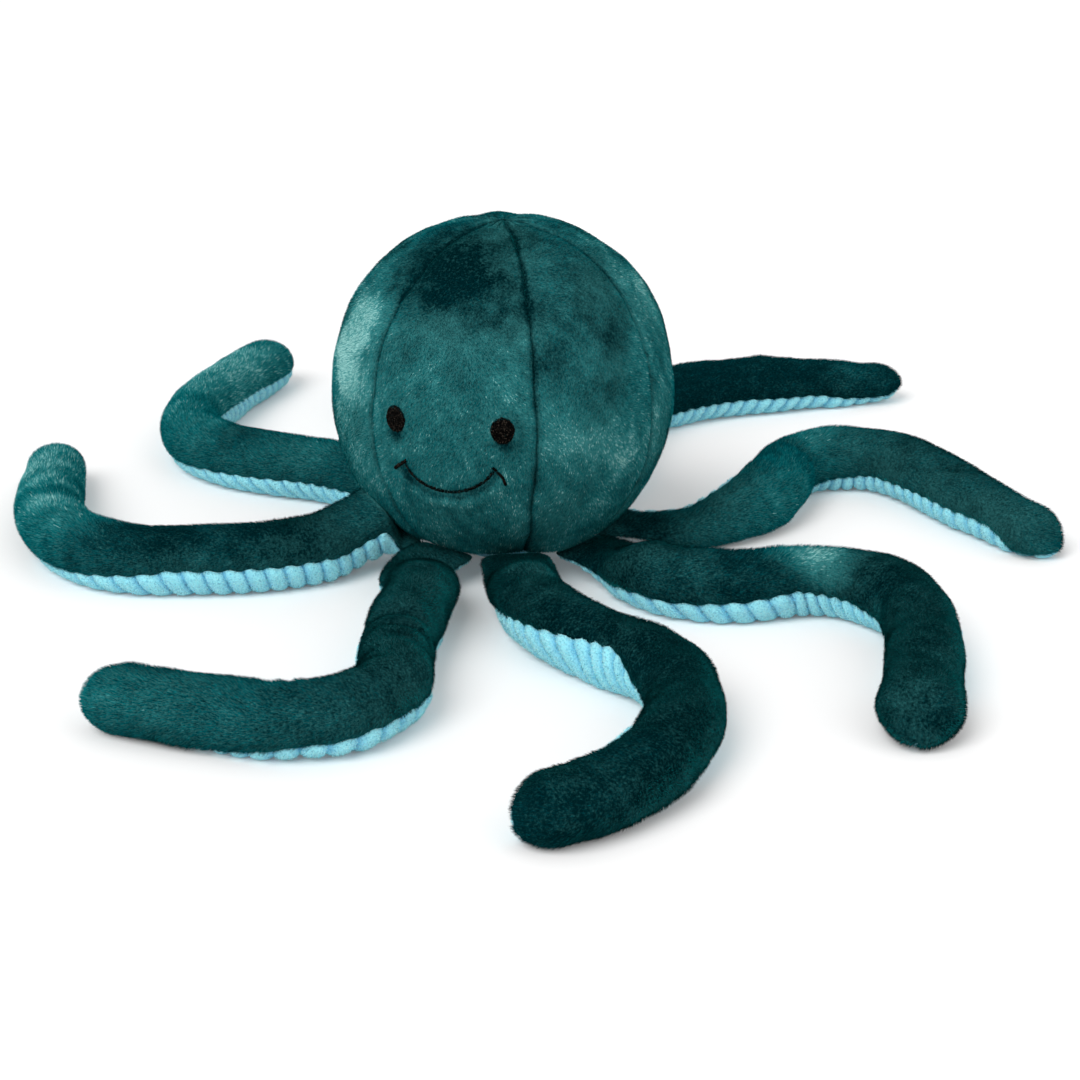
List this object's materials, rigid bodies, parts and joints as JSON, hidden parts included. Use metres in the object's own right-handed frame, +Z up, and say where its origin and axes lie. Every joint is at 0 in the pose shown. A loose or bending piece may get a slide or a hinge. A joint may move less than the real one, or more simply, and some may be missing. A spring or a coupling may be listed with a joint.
{
  "type": "plush octopus",
  "caption": "Stuffed plush octopus with a round gored head, a stitched smiling face and curled arms lined with corduroy, which swing on their sewn roots.",
  "frame": {"origin": "on the floor under the middle of the head", "axes": "+Z up, -Y towards the viewer of the picture, +X to the viewer's right; the face looks 18 degrees to the left of -Y"},
  "size_m": [0.4447, 0.5917, 0.1411],
  "materials": {
    "teal_plush": "short brushed pile, dark teal",
    "light_blue_corduroy": "wide corduroy ribs, light blue",
    "black_thread": "satin stitched embroidery thread, black",
    "white_fibre": "loose polyester fibre, hidden"
  },
  "bodies": {
    "head": {"gore_face": "teal_plush", "gore_front_right": "teal_plush", "gore_right": "teal_plush", "gore_back_right": "teal_plush", "gore_back": "teal_plush", "gore_back_left": "teal_plush", "gore_left": "teal_plush", "base_panel": "light_blue_corduroy", "head_stuffing": "white_fibre", "eye_left": "black_thread", "eye_right": "black_thread", "smile": "black_thread", "smile_corner_left": "black_thread", "smile_corner_right": "black_thread"},
    "arm_front": {"arm_front_top": "teal_plush", "arm_front_underside": "light_blue_corduroy", "arm_front_stuffing": "white_fibre"},
    "arm_front_right": {"arm_front_right_top": "teal_plush", "arm_front_right_underside": "light_blue_corduroy", "arm_front_right_stuffing": "white_fibre"},
    "arm_right": {"arm_right_top": "teal_plush", "arm_right_underside": "light_blue_corduroy", "arm_right_stuffing": "white_fibre"},
    "arm_back_right": {"arm_back_right_top": "teal_plush", "arm_back_right_underside": "light_blue_corduroy", "arm_back_right_stuffing": "white_fibre"},
    "arm_back": {"arm_back_top": "teal_plush", "arm_back_underside": "light_blue_corduroy", "arm_back_stuffing": "white_fibre"},
    "arm_back_left": {"arm_back_left_top": "teal_plush", "arm_back_left_underside": "light_blue_corduroy", "arm_back_left_stuffing": "white_fibre"},
    "arm_left": {"arm_left_top": "teal_plush", "arm_left_underside": "light_blue_corduroy", "arm_left_stuffing": "white_fibre"},
    "arm_front_left": {"arm_front_left_top": "teal_plush", "arm_front_left_underside": "light_blue_corduroy", "arm_front_left_stuffing": "white_fibre"}
  },
  "joints": [
    {"name": "arm_front_root", "type": "hinge", "parent": "head", "child": "arm_front", "pos_m": [0.00524, -0.04272, 0.00951], "axis": [-0.9925, -0.1219, 0], "range_deg": [-45, 35]},
    {"name": "arm_front_right_root", "type": "hinge", "parent": "head", "child": "arm_front_right", "pos_m": [0.03391, -0.0265, 0.00951], "axis": [-0.6157, -0.788, 0], "range_deg": [-45, 35]},
    {"name": "arm_right_root", "type": "hinge", "parent": "head", "child": "arm_right", "pos_m": [0.04272, 0.00524, 0.00951], "axis": [0.1219, -0.9925, 0], "range_deg": [-45, 35]},
    {"name": "arm_back_right_root", "type": "hinge", "parent": "head", "child": "arm_back_right", "pos_m": [0.0265, 0.03391, 0.00951], "axis": [0.788, -0.6157, 0], "range_deg": [-45, 35]},
    {"name": "arm_back_root", "type": "hinge", "parent": "head", "child": "arm_back", "pos_m": [-0.00524, 0.04272, 0.00951], "axis": [0.9925, 0.1219, 0], "range_deg": [-45, 35]},
    {"name": "arm_back_left_root", "type": "hinge", "parent": "head", "child": "arm_back_left", "pos_m": [-0.03391, 0.0265, 0.00951], "axis": [0.6157, 0.788, 0], "range_deg": [-45, 35]},
    {"name": "arm_left_root", "type": "hinge", "parent": "head", "child": "arm_left", "pos_m": [-0.04272, -0.00524, 0.00951], "axis": [-0.1219, 0.9925, 0], "range_deg": [-45, 35]},
    {"name": "arm_front_left_root", "type": "hinge", "parent": "head", "child": "arm_front_left", "pos_m": [-0.0265, -0.03391, 0.00951], "axis": [-0.788, 0.6157, 0], "range_deg": [-45, 35]}
  ]
}
